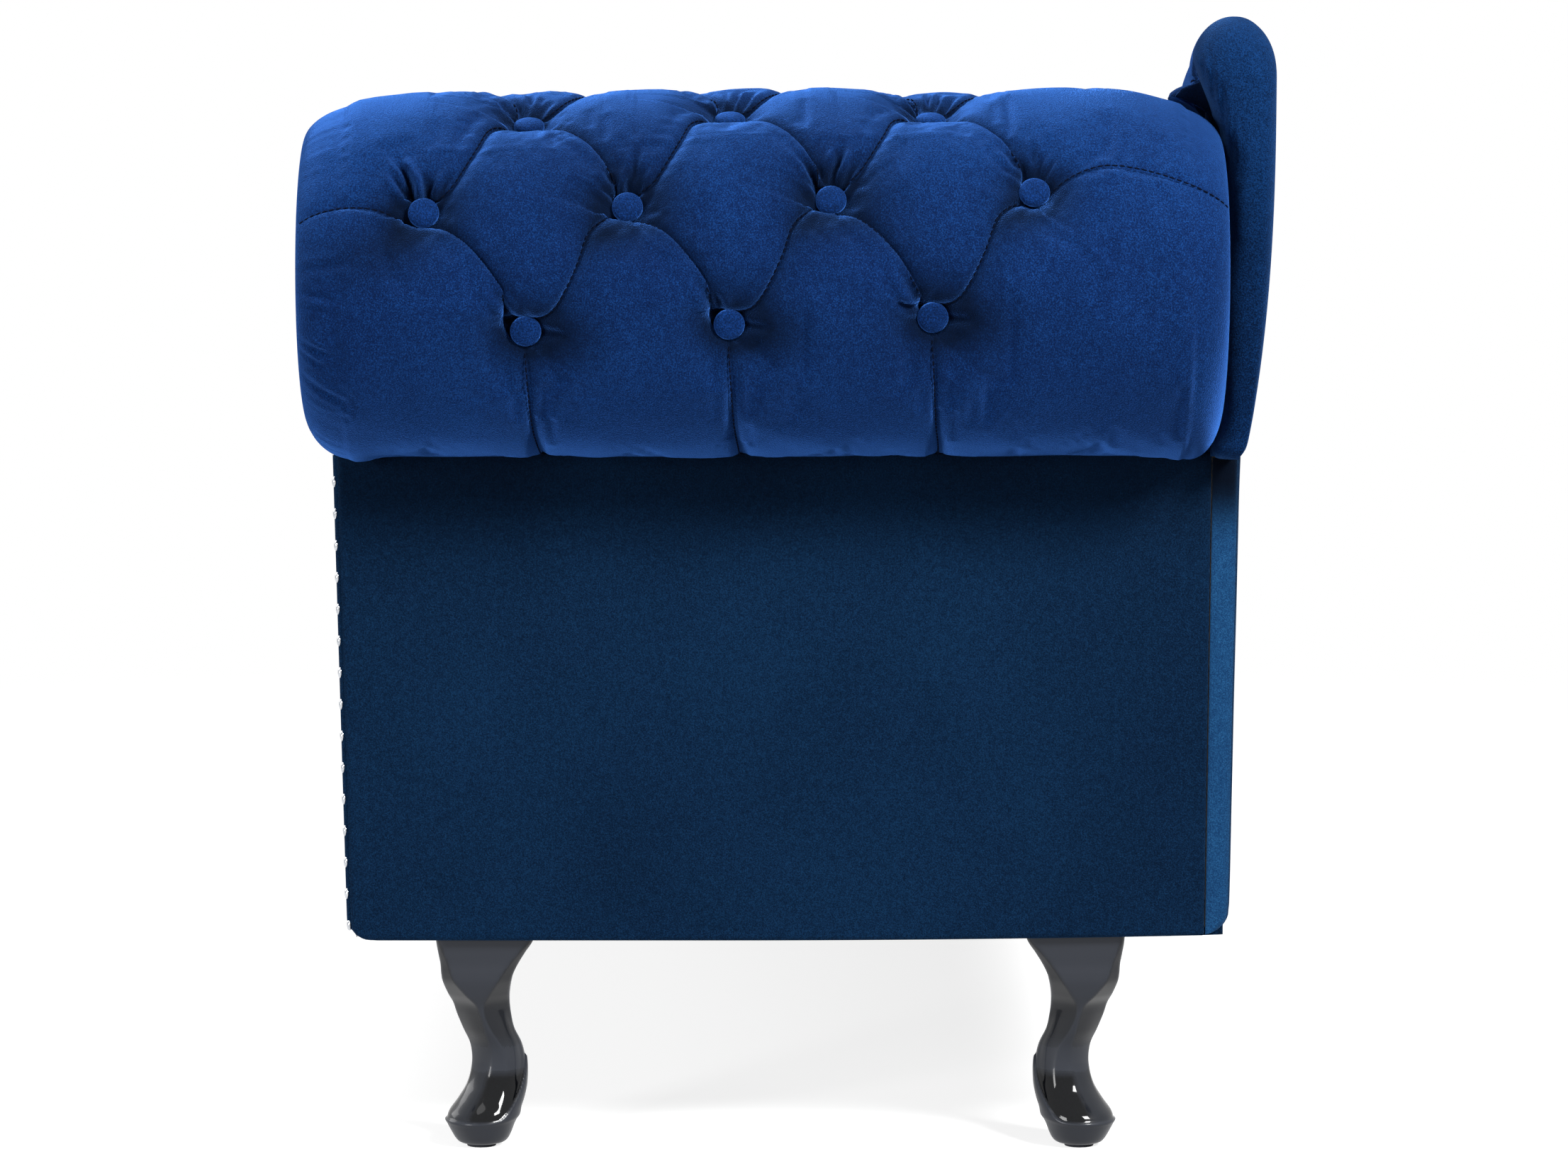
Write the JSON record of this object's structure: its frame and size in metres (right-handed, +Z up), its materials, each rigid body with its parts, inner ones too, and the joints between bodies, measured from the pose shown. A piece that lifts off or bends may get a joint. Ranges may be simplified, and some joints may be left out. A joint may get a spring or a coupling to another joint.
{
  "type": "fainting couch",
  "caption": "Deep-buttoned chaise longue with one scroll arm, a swept back, a tufted seat and short cabriole legs.",
  "frame": {"origin": "on the floor, under the middle of the couch's bounding box", "axes": "+X towards the arm end, +Y towards the back, +Z up"},
  "size_m": [1.7, 0.712, 0.85],
  "materials": {
    "velvet": "short-pile velvet",
    "leg_wood": "black gloss lacquer",
    "frame_wood": "planed, unfinished",
    "plywood": "unfinished plywood",
    "steel": "plain steel",
    "hessian": "coarse jute weave",
    "foam": "open-cell foam",
    "dust_cloth": "thin black nonwoven cloth",
    "glide": "felt"
  },
  "bodies": {
    "root": {"leg_front_arm": "leg_wood", "glide_front_arm": "glide", "leg_plate_front_arm": "steel", "leg_bolt_front_arm": "steel", "corner_block_front_arm": "frame_wood", "leg_rear_arm": "leg_wood", "glide_rear_arm": "glide", "leg_plate_rear_arm": "steel", "leg_bolt_rear_arm": "steel", "corner_block_rear_arm": "frame_wood", "leg_front_foot": "leg_wood", "glide_front_foot": "glide", "leg_plate_front_foot": "steel", "leg_bolt_front_foot": "steel", "corner_block_front_foot": "frame_wood", "leg_rear_foot": "leg_wood", "glide_rear_foot": "glide", "leg_plate_rear_foot": "steel", "leg_bolt_rear_foot": "steel", "corner_block_rear_foot": "frame_wood", "foot_rail": "frame_wood", "front_rail": "frame_wood", "rear_rail": "frame_wood", "head_rail": "frame_wood", "arm_inner_rail": "frame_wood", "cross_rail_1": "frame_wood", "cross_rail_2": "frame_wood", "seat_spring_1": "steel", "seat_spring_2": "steel", "seat_spring_3": "steel", "seat_spring_4": "steel", "seat_spring_5": "steel", "seat_hessian": "hessian", "seat_foam": "foam", "front_border": "velvet", "foot_border": "velvet", "arm_outside_panel": "velvet", "dust_cover": "dust_cloth", "arm_scroll_board_front": "plywood", "arm_scroll_board_rear": "plywood", "arm_slat_top": "frame_wood", "arm_slat_outer": "frame_wood", "arm_tack_rail": "frame_wood", "arm_curved_board": "plywood", "arm_button_1": "velvet", "arm_button_2": "velvet", "arm_button_3": "velvet", "arm_button_4": "velvet", "arm_button_5": "velvet", "arm_button_6": "velvet", "arm_button_7": "velvet", "arm_pad": "velvet", "arm_front_facing": "velvet", "arm_rear_facing": "velvet", "back_board": "plywood", "back_pad": "velvet", "back_hessian": "hessian", "back_outside_panel": "velvet", "seat_pad": "velvet"}
  },
  "joints": []
}
